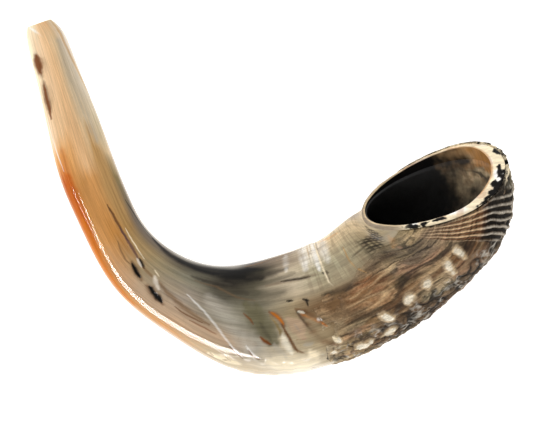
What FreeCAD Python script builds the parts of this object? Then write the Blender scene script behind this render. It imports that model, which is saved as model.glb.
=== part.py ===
"""A natural ram's-horn shofar, lying on its side with its mouth turned up and back.

Millimetres. The origin is under the middle of the horn, on the surface it lies on, and +Z is up.
The horn is a sheath that grew as nested cones, so each sub-part but the last two is one growth
cone: its front end is a tapered spigot inside the cone before it, and its visible end is a ring
line. The rough outer skin and the thin inner skin of the bell are sub-parts of their own.
"""

import FreeCAD, Part
import math
import os

from FreeCAD import Vector

# The horn at equally numbered sections, from the cut tip to the mouth. Each section spans from a
# point on the outside of the curve to a point on the inside. "mid" is the height of its centre,
# "depth" its size across the span, "lean" how far its plane leans from upright, in degrees,
# "shear" how far its upper half is pushed inwards, "square" the exponent of its superellipse, and
# "blunt" how much deeper its outer half is. Then come the wall at the outside, at the inside,
# above and below, and half the angle that the crust wraps round the outside of the curve, in
# degrees, which counts from CRUST_START on.
#    outside          inside           mid  depth lean shear square blunt walls                 wrap
HORN = [
    (-121.5, 84.75, -109.0, 89.25, 7.3, 12.5, 0, 0.00, 2.00, 0.00, 4.5, 4.5, 4.1, 4.1, 20),
    (-121.0, 76.75, -102.5, 82.25, 8.5, 17.0, 0, 0.00, 2.00, 0.00, 7.4, 7.4, 6.3, 6.3, 20),
    (-116.5, 58.75, -95.75, 65.75, 9.8, 19.0, 0, 0.00, 2.00, 0.00, 8.9, 8.9, 7.4, 7.4, 20),
    (-111.0, 34.75, -86.25, 42.25, 11.8, 21.5, 0, 0.00, 2.05, 0.02, 10.7, 10.7, 8.5, 8.5, 20),
    (-104.75, 9.75, -77.5, 18.75, 13.4, 24.0, 0, 0.00, 2.10, 0.04, 10.9, 10.9, 8.6, 8.6, 20),
    (-95.5, -12.25, -69.75, -0.25, 14.5, 26.0, 0, 0.00, 2.10, 0.06, 8.8, 8.6, 7.5, 7.5, 20),
    (-84.0, -35.25, -61.75, -14.75, 15.6, 28.5, 0, 0.00, 2.15, 0.08, 7.8, 7.6, 6.8, 6.8, 20),
    (-68.5, -54.25, -48.75, -26.25, 16.8, 31.5, 0, 0.00, 2.20, 0.10, 7.8, 7.2, 6.4, 6.4, 20),
    (-44.5, -71.75, -32.5, -33.25, 18.4, 35.5, 0, 0.00, 2.20, 0.12, 8.0, 7.2, 5.8, 5.8, 35),
    (-21.5, -84.25, -16.5, -34.0, 19.9, 39.0, 0, 0.00, 2.25, 0.14, 8.0, 7.0, 5.2, 5.2, 50),
    (3.0, -89.0, -0.5, -30.5, 21.4, 42.0, 0, 0.00, 2.30, 0.16, 7.2, 6.2, 4.8, 4.8, 70),
    (31.5, -84.25, 15.5, -25.25, 22.7, 44.0, 2, 0.00, 2.35, 0.18, 6.6, 5.4, 4.4, 4.4, 90),
    (57.5, -73.25, 26.5, -20.25, 23.7, 46.0, 6, 0.01, 2.35, 0.20, 6.3, 4.6, 4.3, 4.0, 102),
    (80.5, -59.25, 35.5, -13.5, 25.4, 47.5, 13, 0.03, 2.35, 0.21, 6.1, 4.0, 4.4, 3.7, 107),
    (99.5, -42.0, 41.25, -9.5, 28.8, 48.5, 22, 0.05, 2.30, 0.20, 6.1, 3.4, 4.5, 3.5, 112),
    (114.75, -24.5, 44.25, -8.5, 33.6, 49.5, 31, 0.07, 2.25, 0.19, 6.2, 2.8, 4.7, 3.3, 116),
    (121.5, -4.0, 45.5, -8.0, 38.9, 50.0, 39, 0.09, 2.20, 0.18, 6.3, 2.4, 4.9, 3.2, 120),
    (118.75, 17.5, 46.25, -9.0, 43.8, 50.0, 45, 0.10, 2.10, 0.17, 6.5, 2.0, 5.0, 3.0, 124),
]
MOUTH = len(HORN) - 1

# Growth cones from the tip to the bell, and the section at which each one's ring line shows.
CONES = ["mouthpiece_tip", "neck_cone", "lower_neck_cone", "bend_cone", "waist_cone",
         "throat_cone", "bell_cone"]
RING_LINES = [3.5, 5.5, 7.2, 10.3, 11.5, 12.5]
SPIGOT = 0.65
CONE_SEAM = 90
CONE_SHARES = (-0.2, 0.15, 0.5, 0.85, 1.2)

BORE_RADIUS = 3.0
BORE_LENGTH = 62.0
CUP_RADIUS = 4.6
CUP_DEPTH = 9.0
FLAT_DISTANCE = 5.4
FLAT_TAPER = 20.0
FLAT_ANGLES = [100, 220, 340]
FLAT_CUTTER = 40.0

HOLLOW_START = 3.2
HOLLOW_OVERRUN = 4.0
SECTION_POINTS = 28
SECTION_STEP = 0.5

CRUST_THICKNESS = 1.3
CRUST_START = 10.9
CRUST_FADE = 0.8
CRUST_FEATHER = 25
CRUST_POINTS = 21

LINING_THICKNESS = 0.7
LINING_ENDS = (13.9, 16.65)
LINING_OVERCUT = 0.3
FIT_GAP = 0.03


def spline_bends(values):
    """Second derivatives of the natural cubic through values at 0, 1, 2 and so on."""
    count = len(values)
    bends = [0.0] * count
    gains = [0.0] * count
    for i in range(1, count - 1):
        gains[i] = 1 / (4 - gains[i - 1])
        rise = 6 * (values[i + 1] - 2 * values[i] + values[i - 1])
        bends[i] = (rise - bends[i - 1]) * gains[i]
    for i in range(count - 2, 0, -1):
        bends[i] -= gains[i] * bends[i + 1]
    return bends


COLUMNS = [list(column) for column in zip(*HORN)]
BENDS = [spline_bends(column) for column in COLUMNS]


def along(station):
    """Every column of HORN at a section number, which may lie between two rows."""
    i = min(int(station), MOUTH - 1)
    u = station - i
    v = 1 - u
    row = []
    for values, bends in zip(COLUMNS, BENDS):
        straight = v * values[i] + u * values[i + 1]
        bent = (v ** 3 - v) * bends[i] + (u ** 3 - u) * bends[i + 1]
        row.append(straight + bent / 6)
    return row


def smooth(x):
    """0 below 0, 1 above 1, and smooth between."""
    x = min(max(x, 0.0), 1.0)
    return x * x * (3 - 2 * x)


class Section:
    """One cross-section of the horn: its centre, its directions and its shape."""

    def __init__(self, station):
        self.station = station
        (ox, oy, ix, iy, mid, depth, lean, self.shear, self.square, self.blunt,
         *self.walls, self.wrap) = along(station)
        span = Vector(ox - ix, oy - iy, 0)
        self.half_span = span.Length / 2
        self.half_depth = depth / 2
        self.centre = Vector((ox + ix) / 2, (oy + iy) / 2, mid)
        self.outward = span.normalize()
        level = Vector(0, 0, 1).cross(self.outward)
        lean = math.radians(lean)
        self.upward = Vector(0, 0, math.cos(lean)) - level * math.sin(lean)
        self.forward = level * math.cos(lean) + Vector(0, 0, math.sin(lean))

    def point(self, angle, outer, inner, upper, lower):
        """A point of the section's outline, moved in by the insets at its four sides."""
        c = math.cos(math.radians(angle))
        s = math.sin(math.radians(angle))
        r = (abs(c) ** self.square + abs(s) ** self.square) ** (-1 / self.square)
        y = r * s * (1 + self.blunt * r * c)
        x = r * c - self.shear * y
        across = (inner - outer) / 2 + (self.half_span - (outer + inner) / 2) * x
        above = (lower - upper) / 2 + (self.half_depth - (upper + lower) / 2) * y
        return self.centre + self.outward * across + self.upward * above

    def skin(self, angle):
        """A point of the outside, on the crust where there is crust."""
        return self.point(angle, 0, 0, 0, 0)

    def crust_depth(self, angle):
        """How far the horn under the crust lies below the outside."""
        lengthwise = smooth((self.station - CRUST_START + CRUST_FADE) / (2 * CRUST_FADE))
        across = smooth((self.wrap + CRUST_FEATHER - abs(angle)) / (2 * CRUST_FEATHER))
        return CRUST_THICKNESS * lengthwise * across

    def horn(self, angle, gap=0.0):
        """A point of the horn itself, under the crust where there is crust, or a gap above it."""
        inset = self.crust_depth(angle) - gap
        return self.point(angle, inset, inset, inset, inset)

    def hollow(self, angle, inset=0.0):
        """A point of the hollow's wall, or inset from it towards the middle."""
        return self.point(angle, *[wall + inset for wall in self.walls])


def steps(first, last, step):
    """Section numbers from first to last, about step apart."""
    count = max(1, round((last - first) / step))
    return [first + (last - first) * i / count for i in range(count + 1)]


def full_turn(outline, seam=180):
    """Points all round one outline, a function of an angle between -180 and 180 degrees."""
    turns = [(seam / 360 + i / SECTION_POINTS + 0.5) % 1 for i in range(SECTION_POINTS)]
    return [outline(360 * turn - 180) for turn in turns]


def smooth_curve(points, closed=False):
    """The smooth curve through points, with one unit of its parameter between neighbours."""
    curve = Part.BSplineCurve()
    parameters = list(range(len(points) + closed))
    curve.interpolate(points, PeriodicFlag=closed, Parameters=parameters)
    return curve


def curve_edge(points):
    """The edge through points that a face through the same points has."""
    return smooth_curve(points).toShape()


def sheet_face(rows, closed=False):
    """The smooth face through rows of points, or through rings of points if closed."""
    across = [smooth_curve(row, closed) for row in rows]
    lengthwise = [smooth_curve(list(poles)) for poles in zip(*[c.getPoles() for c in across])]
    face = Part.BSplineSurface()
    face.buildFromPolesMultsKnots(
        [list(poles) for poles in zip(*[c.getPoles() for c in lengthwise])],
        lengthwise[0].getMultiplicities(), across[0].getMultiplicities(),
        lengthwise[0].getKnots(), across[0].getKnots(),
        False, closed, lengthwise[0].Degree, across[0].Degree)
    return face.toShape()


def closed_solid(faces):
    """The solid that faces enclose."""
    shell = Part.Shell(faces)
    shell.sewShape()
    solid = Part.Solid(shell)
    if solid.Volume < 0:
        solid.reverse()
    return solid


def tube_solid(rings):
    """The solid inside rings of points, with a flat face across each end."""
    side = sheet_face(rings, closed=True)
    rims = [edge for edge in side.Edges if edge.isClosed()]
    return closed_solid([side] + [Part.Face(Part.Wire(rim)) for rim in rims])


def make_whole_horn():
    """The horn's outside as one solid, from the cut tip to the mouth."""
    return tube_solid([full_turn(Section(s).horn) for s in steps(0, MOUTH, SECTION_STEP)])


def make_hollow(inset=0.0, first=HOLLOW_START, last=MOUTH, overrun=HOLLOW_OVERRUN):
    """The space inside the horn, run on past its last section so that it cuts cleanly."""
    rings = []
    for station in steps(first, last, SECTION_STEP):
        section = Section(station)
        rings.append(full_turn(lambda angle: section.hollow(angle, inset)))
    if overrun:
        rings.append([point + section.forward * overrun for point in rings[-1]])
    return tube_solid(rings)


def bore_line():
    """The start and direction of the drilled bore, at the cut tip."""
    start = Section(0).centre
    return start, (Section(3).centre - start).normalize()


def make_bore():
    """The drilled bore, opening into the carved cup at the tip."""
    start, direction = bore_line()
    before = start - direction
    bore = Part.makeCylinder(BORE_RADIUS, BORE_LENGTH + 1, before, direction)
    flare = (CUP_RADIUS - BORE_RADIUS) / CUP_DEPTH
    cup = Part.makeCone(CUP_RADIUS + flare, BORE_RADIUS, CUP_DEPTH + 1, before, direction)
    return bore.fuse(cup)


def file_flats(horn):
    """The horn with flats filed on its tip, each leaning in towards the end."""
    start, direction = bore_line()
    section = Section(0)
    half = FLAT_CUTTER / 2
    for angle in FLAT_ANGLES:
        turn = math.radians(angle)
        side = section.outward * math.cos(turn) + section.upward * math.sin(turn)
        lean = math.radians(FLAT_TAPER)
        normal = side * math.cos(lean) - direction * math.sin(lean)
        block = Part.makeBox(FLAT_CUTTER, FLAT_CUTTER, FLAT_CUTTER, Vector(-half, -half, 0))
        block.Placement = FreeCAD.Placement(
            start + side * FLAT_DISTANCE, FreeCAD.Rotation(Vector(0, 0, 1), normal))
        horn = horn.cut(block)
    return horn


def make_cone_face(ring_line):
    """The face between two growth cones, from inside the hollow out past the skin."""
    first = ring_line - SPIGOT
    rings = []
    for share in CONE_SHARES:
        section = Section(first + SPIGOT * share)

        def outline(angle):
            inside = section.hollow(angle)
            return inside + (section.horn(angle) - inside) * share

        rings.append(full_turn(outline, CONE_SEAM))
    return sheet_face(rings, closed=True)


def split_into_cones(horn):
    """The growth cones, in order from the tip."""
    faces = [make_cone_face(ring_line) for ring_line in RING_LINES]
    pieces = horn.generalFuse(faces)[0].Solids
    solids = sorted(pieces, key=lambda piece: place_along(piece.CenterOfMass))
    if len(solids) != len(CONES):
        raise RuntimeError(f"the horn split into {len(solids)} pieces")
    return dict(zip(CONES, solids))


def place_along(point):
    """The number of the section whose centre is nearest to a point."""
    return min(steps(0, MOUTH, 0.1), key=lambda s: (Section(s).centre - point).Length)


def make_crust():
    """The rough skin left on the outside of the bell, open along the inside of the curve."""
    over = []
    under = []
    for station in steps(CRUST_START, MOUTH, SECTION_STEP):
        section = Section(station)
        angles = steps(-section.wrap, section.wrap, 2 * section.wrap / (CRUST_POINTS - 1))
        over.append([section.skin(angle) for angle in angles])
        under.append([section.horn(angle, FIT_GAP) for angle in angles])
    faces = [sheet_face(over), sheet_face(under)]
    for row in (0, -1):
        rims = [curve_edge(rows[row]) for rows in (over, under)]
        faces.append(Part.makeRuledSurface(*rims))
        sides = [curve_edge([points[row] for points in rows]) for rows in (over, under)]
        faces.append(Part.makeRuledSurface(*sides))
    return closed_solid(faces)


def make_lining():
    """The thin inner skin just inside the mouth."""
    first, last = LINING_ENDS
    outside = make_hollow(FIT_GAP, first, last, overrun=0)
    inside = make_hollow(FIT_GAP + LINING_THICKNESS, first - LINING_OVERCUT,
                         last + LINING_OVERCUT, overrun=0)
    return outside.cut(inside).Solids[0]


def main():
    horn = file_flats(make_whole_horn())
    horn = horn.cut(make_hollow()).cut(make_bore()).Solids[0]
    parts = split_into_cones(horn)
    parts["bell_crust"] = make_crust()
    parts["bell_lining"] = make_lining()
    os.makedirs("parts", exist_ok=True)
    for name, shape in parts.items():
        box = shape.BoundBox
        print(f"{name}: {shape.ShapeType} valid {shape.isValid()} solids {len(shape.Solids)}"
              f" volume {shape.Volume / 1000:.2f} cm3"
              f" x {box.XMin:.1f} {box.XMax:.1f} y {box.YMin:.1f} {box.YMax:.1f}"
              f" z {box.ZMin:.2f} {box.ZMax:.2f}")
        shape.exportStep(f"parts/{name}.step")


main()
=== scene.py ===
"""How the shofar looks: a polished ram's horn with a rough crust left on its bell.

The frame's millimetres are used throughout, and turned into metres when a mesh is made. A place on
the horn is a station, the number of a cross-section from the cut tip (0) to the mouth (17), and an
angle round that section: 0 on the outside of the curve, 180 on its inside, positive above.
"""

import math
from collections import namedtuple

import bpy
import numpy as np
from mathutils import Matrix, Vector


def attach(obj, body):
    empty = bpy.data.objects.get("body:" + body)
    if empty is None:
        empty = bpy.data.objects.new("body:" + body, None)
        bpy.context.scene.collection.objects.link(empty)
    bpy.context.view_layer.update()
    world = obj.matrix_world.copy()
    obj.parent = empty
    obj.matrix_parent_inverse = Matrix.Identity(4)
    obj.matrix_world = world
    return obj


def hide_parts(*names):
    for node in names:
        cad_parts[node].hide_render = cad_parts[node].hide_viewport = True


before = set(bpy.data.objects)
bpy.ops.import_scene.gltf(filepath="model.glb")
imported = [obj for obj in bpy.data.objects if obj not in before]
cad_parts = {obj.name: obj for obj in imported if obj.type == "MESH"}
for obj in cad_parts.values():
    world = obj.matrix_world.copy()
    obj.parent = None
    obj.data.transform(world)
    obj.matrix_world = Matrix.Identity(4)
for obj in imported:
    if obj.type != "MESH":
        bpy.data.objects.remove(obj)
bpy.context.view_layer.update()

METRES = 0.001

# The sections that the CAD model is made from, repeated: the point on the outside of the curve, the
# point on the inside, height of the centre, depth, lean, shear, squareness, bluntness, the walls at
# the outside, inside, above and below, and half the angle that the crust wraps.
HORN = [
    (-121.5, 84.75, -109, 89.25, 7.3, 12.5, 0, 0, 2, 0, 4.5, 4.5, 4.1, 4.1, 20),
    (-121, 76.75, -102.5, 82.25, 8.5, 17, 0, 0, 2, 0, 7.4, 7.4, 6.3, 6.3, 20),
    (-116.5, 58.75, -95.75, 65.75, 9.8, 19, 0, 0, 2, 0, 8.9, 8.9, 7.4, 7.4, 20),
    (-111, 34.75, -86.25, 42.25, 11.8, 21.5, 0, 0, 2.05, 0.02, 10.7, 10.7, 8.5, 8.5, 20),
    (-104.75, 9.75, -77.5, 18.75, 13.4, 24, 0, 0, 2.1, 0.04, 10.9, 10.9, 8.6, 8.6, 20),
    (-95.5, -12.25, -69.75, -0.25, 14.5, 26, 0, 0, 2.1, 0.06, 8.8, 8.6, 7.5, 7.5, 20),
    (-84, -35.25, -61.75, -14.75, 15.6, 28.5, 0, 0, 2.15, 0.08, 7.8, 7.6, 6.8, 6.8, 20),
    (-68.5, -54.25, -48.75, -26.25, 16.8, 31.5, 0, 0, 2.2, 0.1, 7.8, 7.2, 6.4, 6.4, 20),
    (-44.5, -71.75, -32.5, -33.25, 18.4, 35.5, 0, 0, 2.2, 0.12, 8, 7.2, 5.8, 5.8, 35),
    (-21.5, -84.25, -16.5, -34, 19.9, 39, 0, 0, 2.25, 0.14, 8, 7, 5.2, 5.2, 50),
    (3, -89, -0.5, -30.5, 21.4, 42, 0, 0, 2.3, 0.16, 7.2, 6.2, 4.8, 4.8, 70),
    (31.5, -84.25, 15.5, -25.25, 22.7, 44, 2, 0, 2.35, 0.18, 6.6, 5.4, 4.4, 4.4, 90),
    (57.5, -73.25, 26.5, -20.25, 23.7, 46, 6, 0.01, 2.35, 0.2, 6.3, 4.6, 4.3, 4, 102),
    (80.5, -59.25, 35.5, -13.5, 25.4, 47.5, 13, 0.03, 2.35, 0.21, 6.1, 4, 4.4, 3.7, 107),
    (99.5, -42, 41.25, -9.5, 28.8, 48.5, 22, 0.05, 2.3, 0.2, 6.1, 3.4, 4.5, 3.5, 112),
    (114.75, -24.5, 44.25, -8.5, 33.6, 49.5, 31, 0.07, 2.25, 0.19, 6.2, 2.8, 4.7, 3.3, 116),
    (121.5, -4, 45.5, -8, 38.9, 50, 39, 0.09, 2.2, 0.18, 6.3, 2.4, 4.9, 3.2, 120),
    (118.75, 17.5, 46.25, -9, 43.8, 50, 45, 0.1, 2.1, 0.17, 6.5, 2, 5, 3, 124),
]
MOUTH = len(HORN) - 1
CONES = ["mouthpiece_tip", "neck_cone", "lower_neck_cone", "bend_cone", "waist_cone",
         "throat_cone", "bell_cone"]
CONE_SLOTS = ["tip_horn", "neck_horn", "lower_neck_horn", "bend_horn", "waist_horn",
              "throat_horn", "bell_horn"]
RING_LINES = [3.5, 5.5, 7.2, 10.3, 11.5, 12.5]
SPIGOT = 0.65
BORE_RADIUS = 3.0
CUP_RADIUS = 4.6
CUP_DEPTH = 9.0
FLAT_DISTANCE = 5.4
FLAT_TAPER = 20.0
FLAT_ANGLES = [100, 220, 340]
FLAT_ROUNDING = 0.35
FLATS_END = 1.5
HOLLOW_START = 3.2
HOLLOW_BLEND = 0.9
LIP_HEIGHT = 0.35
CRUST_THICKNESS = 1.3
CRUST_START = 10.9
CRUST_FADE = 0.8
CRUST_FEATHER = 25
CRUST_LEAD = 0.15
CRUST_MARGIN = 4
LINING_THICKNESS = 0.7
LINING_ENDS = (13.9, 16.65)
FIT_GAP = 0.03
# Where the polished skin and the crust stop short of the mouth, which the rim covers.
SKIN_END = MOUTH - 0.05
CRUST_END = MOUTH - 0.02

# How finely the meshes are divided.
COLUMNS = 360
SKIN_STEP = 0.6
HOLLOW_STEP = 2.0
CONE_FACE_ROWS = 5
LIP_ROWS = 7
RIM_ROWS = 22
CRUST_STEP = 0.5
CRUST_COLUMNS = 271
UNDER_STRIDE = 6
LINING_STEP = 0.7


def natural_bends(values):
    """Second derivatives of the natural cubic through rows of values at 0, 1, 2 and so on."""
    count = len(values)
    system = np.eye(count)
    right = np.zeros_like(values)
    for i in range(1, count - 1):
        system[i, i - 1:i + 2] = (1, 4, 1)
        right[i] = 6 * (values[i + 1] - 2 * values[i] + values[i - 1])
    return np.linalg.solve(system, right)


ROWS = np.array(HORN, float)
BENDS = natural_bends(ROWS)


def along(station):
    """Every column of HORN at an array of stations."""
    i = np.clip(station.astype(int), 0, MOUTH - 1)
    u = (station - i)[..., None]
    v = 1 - u
    bent = (v ** 3 - v) * BENDS[i] + (u ** 3 - u) * BENDS[i + 1]
    return v * ROWS[i] + u * ROWS[i + 1] + bent / 6


def smooth(x):
    """0 below 0, 1 above 1, and smooth between."""
    x = np.clip(x, 0, 1)
    return x * x * (3 - 2 * x)


def mix(first, second, share):
    return first + (second - first) * share


def unit(vectors):
    return vectors / np.linalg.norm(vectors, axis=-1, keepdims=True)


class Sections:
    """Cross-sections of the horn at an array of stations."""

    def __init__(self, station):
        self.station = np.asarray(station, float)
        (ox, oy, ix, iy, mid, depth, lean, self.shear, self.square, self.blunt,
         *self.walls, self.wrap) = np.moveaxis(along(self.station), -1, 0)
        span = np.stack([ox - ix, oy - iy, 0 * ox], -1)
        length = np.linalg.norm(span, axis=-1)
        self.half_span = length / 2
        self.half_depth = depth / 2
        self.centre = np.stack([(ox + ix) / 2, (oy + iy) / 2, mid], -1)
        self.outward = span / length[..., None]
        level = np.cross([0, 0, 1], self.outward)
        lean = np.radians(lean)[..., None]
        self.upward = np.array([0, 0, 1]) * np.cos(lean) - level * np.sin(lean)
        self.forward = level * np.cos(lean) + np.array([0, 0, 1]) * np.sin(lean)

    def point(self, angle, outer, inner, upper, lower):
        """Points of the outlines, moved in by the insets at their four sides."""
        c = np.cos(np.radians(angle))
        s = np.sin(np.radians(angle))
        r = (np.abs(c) ** self.square + np.abs(s) ** self.square) ** (-1 / self.square)
        y = r * s * (1 + self.blunt * r * c)
        x = r * c - self.shear * y
        across = (inner - outer) / 2 + (self.half_span - (outer + inner) / 2) * x
        above = (lower - upper) / 2 + (self.half_depth - (upper + lower) / 2) * y
        return self.centre + self.outward * across[..., None] + self.upward * above[..., None]

    def skin(self, angle):
        return self.point(angle, 0, 0, 0, 0)

    def crust_depth(self, angle):
        lengthwise = smooth((self.station - CRUST_START + CRUST_FADE) / (2 * CRUST_FADE))
        across = smooth((self.wrap + CRUST_FEATHER - np.abs(angle)) / (2 * CRUST_FEATHER))
        return CRUST_THICKNESS * lengthwise * across

    def horn(self, angle):
        inset = self.crust_depth(angle)
        return self.point(angle, inset, inset, inset, inset)

    def hollow(self, angle, inset=0.0):
        return self.point(angle, *[wall + inset for wall in self.walls])


# ---------------------------------------------------------------------------------------------
# Noise that is the same on every run.

def lattice(i, j, k, seed):
    """A fixed number from 0 to 1 at each point of a cubic lattice."""
    h = (i * 374761393 + j * 668265263 + k * 1103515245 + seed * 974634777) & 0xFFFFFFFF
    h = ((h ^ (h >> 13)) * 1274126177) & 0xFFFFFFFF
    return ((h ^ (h >> 16)) & 0xFFFF) / 0xFFFF


def noise(points, size, seed):
    """Smooth noise from -1 to 1, whose blobs are about that size."""
    place = points / size
    cell = np.floor(place).astype(np.int64)
    share = smooth(place - cell)
    total = 0
    for corner in np.ndindex(2, 2, 2):
        weight = 1
        for axis in range(3):
            part = share[..., axis]
            weight = weight * (part if corner[axis] else 1 - part)
        i, j, k = [cell[..., axis] + corner[axis] for axis in range(3)]
        total = total + weight * lattice(i, j, k, seed)
    return 2 * total - 1


def rough_noise(points, size, seed, octaves=4):
    """Noise with finer noise on it."""
    total = 0
    for octave in range(octaves):
        total = total + noise(points, size / 2 ** octave, seed + octave) / 2 ** octave
    return total


def creases(points, size, seed, octaves=3):
    """Narrow valleys: 0 on the flat and -1 along crooked lines."""
    total = 0
    for octave in range(octaves):
        valley = 1 - np.abs(noise(points, size / 2 ** octave, seed + octave)) * 4
        total = total + np.clip(valley, 0, 1) / 2 ** octave
    return -np.clip(total, 0, 1)


def drawn(grain, share):
    """The grain's coordinates, squeezed along the horn so that what follows them is drawn out."""
    return grain * np.array([share, 1, 1])


# ---------------------------------------------------------------------------------------------
# Colours, as sRGB from 0 to 255, and where they lie.

PALETTE = {
    "white": (255, 252, 245),
    "ivory": (250, 241, 214),
    "cream": (247, 230, 196),
    "blond": (242, 207, 167),
    "peach": (230, 190, 144),
    "apricot": (220, 177, 130),
    "wheat": (206, 180, 142),
    "bone": (238, 228, 206),
    "pearl": (218, 205, 188),
    "linen": (204, 187, 160),
    "straw": (191, 174, 143),
    "parchment": (212, 188, 150),
    "silver": (192, 184, 170),
    "amber": (221, 160, 94),
    "honey": (202, 146, 88),
    "caramel": (190, 133, 71),
    "tangerine": (204, 112, 6),
    "orange": (182, 82, 2),
    "ochre": (180, 140, 88),
    "mustard": (161, 126, 76),
    "olive": (148, 120, 70),
    "drab": (130, 112, 75),
    "fawn": (181, 154, 126),
    "rose": (192, 152, 122),
    "sage": (180, 170, 140),
    "hay": (161, 142, 110),
    "reed": (148, 131, 98),
    "moss": (104, 98, 74),
    "pewter": (166, 158, 143),
    "flint": (130, 124, 105),
    "stone": (160, 146, 130),
    "ash": (138, 121, 102),
    "bark": (124, 104, 82),
    "umber": (118, 90, 62),
    "slate": (104, 92, 80),
    "russet": (104, 70, 44),
    "mauve": (104, 76, 66),
    "soil": (84, 68, 54),
    "smoke": (86, 80, 64),
    "pitch": (46, 41, 34),
    "ink": (20, 18, 16),
    "brown": (114, 60, 18),
}

# The skin's ground colours. Each row is a station, and the colours round it every 30 degrees, from
# the outside of the curve to the inside. The rows are the cut end, the tip, its end, the start of
# the amber neck, three down its orange flank, the bend, two along its dark stretch, two on the
# waist, and the foot, the middle and the mouth of the bell.
# The colours at 0 and 180 degrees, the outlines seen from above, are partly painted light: lighter
# where the bright surround lights the edges.
TONE_SPAN = 30
TONES = [
    (0.0, "ivory cream cream peach apricot straw linen"),
    (1.2, "ivory cream blond peach wheat pearl bone"),
    (3.2, "cream blond peach apricot wheat straw linen"),
    (3.7, "peach amber amber apricot ochre wheat pearl"),
    (4.3, "peach orange caramel honey ochre drab pearl"),
    (5.6, "amber tangerine honey caramel mustard slate pearl"),
    (6.8, "amber caramel fawn hay reed slate silver"),
    (7.7, "pearl honey fawn stone flint pitch silver"),
    (8.8, "linen straw fawn flint pitch ink silver"),
    (9.6, "linen linen pewter flint smoke ink slate"),
    (10.4, "pearl bone straw hay linen ash linen"),
    (11.2, "straw hay hay umber sage linen bone"),
    (12.2, "ash umber umber umber sage parchment cream"),
    (14.0, "bark bark umber slate reed parchment stone"),
    (17.0, "smoke soil umber ash reed straw parchment"),
]


def linear(name):
    """A named colour, as the renderer counts light."""
    srgb = np.array(PALETTE[name]) / 255
    return np.where(srgb <= 0.04045, srgb / 12.92, ((srgb + 0.055) / 1.055) ** 2.4)


def paint(tint, name, cover, brightness=1):
    """The tint under a named colour, made brighter, that covers so much of it."""
    return mix(tint, linear(name) * brightness, cover[..., None])


TONE_STATIONS = np.array([row[0] for row in TONES])
TONE_COLOURS = np.array([[linear(name) for name in row[1].split()] for row in TONES])


def base_tones(station, angle, place, grain):
    """The skin's ground colour, partly painted light at its outlines, whose borders are drawn out
    along the fibres.
    """
    fibres = drawn(grain, 0.05)
    station = station + 0.20 * noise(place, 9, 11) + 0.22 * rough_noise(fibres, 3, 12, 2)
    angle = np.abs(angle) + 5 * noise(place, 14, 13) + 2.5 * noise(fibres, 2.5, 14)
    station = np.clip(station, 0, MOUTH - 1e-6)
    row = np.searchsorted(TONE_STATIONS, station, "right") - 1
    ahead = (station - TONE_STATIONS[row]) / (TONE_STATIONS[row + 1] - TONE_STATIONS[row])
    across = np.clip(angle, 0, 180 - 1e-6) / TONE_SPAN
    column = across.astype(int)
    across = smooth(across - column)[..., None]
    near = mix(TONE_COLOURS[row, column], TONE_COLOURS[row, column + 1], across)
    far = mix(TONE_COLOURS[row + 1, column], TONE_COLOURS[row + 1, column + 1], across)
    return mix(near, far, ahead[..., None])


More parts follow.
